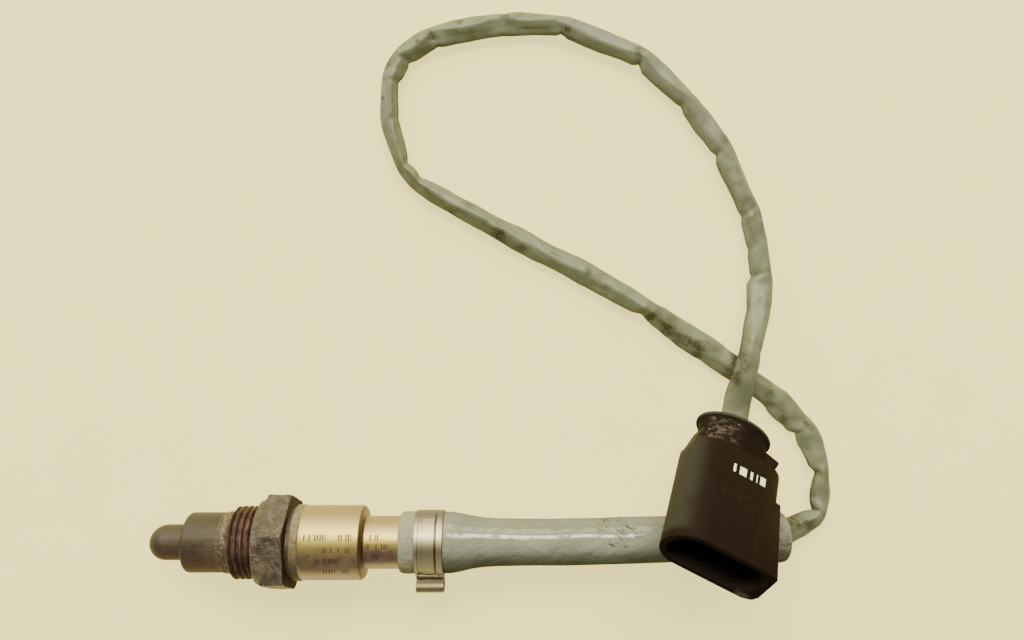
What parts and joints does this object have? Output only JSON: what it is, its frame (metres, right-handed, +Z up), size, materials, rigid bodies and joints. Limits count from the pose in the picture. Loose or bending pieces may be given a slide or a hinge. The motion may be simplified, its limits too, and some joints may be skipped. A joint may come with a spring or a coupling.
{
  "type": "oxygen sensor",
  "caption": "Exhaust oxygen sensor with a threaded hexagon body, domed probe, rubber hose, free sleeved cord and an angled plug.",
  "frame": {"origin": "on the sensor's axis at the seat plane, where the thread meets the hexagon's washer face", "axes": "+X along the sensor's axis towards the hose and cord, +Z up from the surface it lies on"},
  "size_m": [0.1757, 0.1502, 0.0376],
  "materials": {
    "housing_steel": "mottled brown-grey, heat-stained",
    "sooted_tube": "satin, olive-brown heat stain",
    "sleeve_steel": "satin, pale straw to brown heat tint",
    "plain_steel": "satin",
    "clamp_steel": "bright satin",
    "core_ceramic": "matt",
    "talc": "matt pressed powder",
    "element_ceramic": "smooth matt",
    "contact_metal": "bright",
    "pin_metal": "tinned",
    "grommet_rubber": "matt",
    "seal_rubber": "satin",
    "lead_insulation": "satin",
    "hose_rubber": "satin grey-green",
    "cord_sleeve": "satin grey-green, crumpled and soiled",
    "plug_plastic": "dark brown-black satin",
    "lock_plastic": "satin"
  },
  "bodies": {
    "root": {"sensor_housing": "housing_steel", "front_ceramic_bush": "core_ceramic", "talc_seal": "talc", "rear_ceramic_bush": "core_ceramic", "press_ring": "plain_steel", "sensor_element": "element_ceramic", "outer_protection_tube": "sooted_tube", "inner_protection_tube": "sooted_tube", "protective_sleeve": "sleeve_steel", "contact_holder": "core_ceramic", "contact_spring_ring": "plain_steel", "contact_terminals": "contact_metal", "cable_grommet": "grommet_rubber", "lead_wires": "lead_insulation", "protective_hose": "hose_rubber", "hose_clamp": "clamp_steel", "cord": "cord_sleeve", "plug_rear_cap": "plug_plastic", "plug_housing": "plug_plastic", "plug_wire_seal": "seal_rubber", "plug_leads": "lead_insulation", "plug_pins": "pin_metal", "plug_terminal_lock": "lock_plastic"}
  },
  "joints": []
}
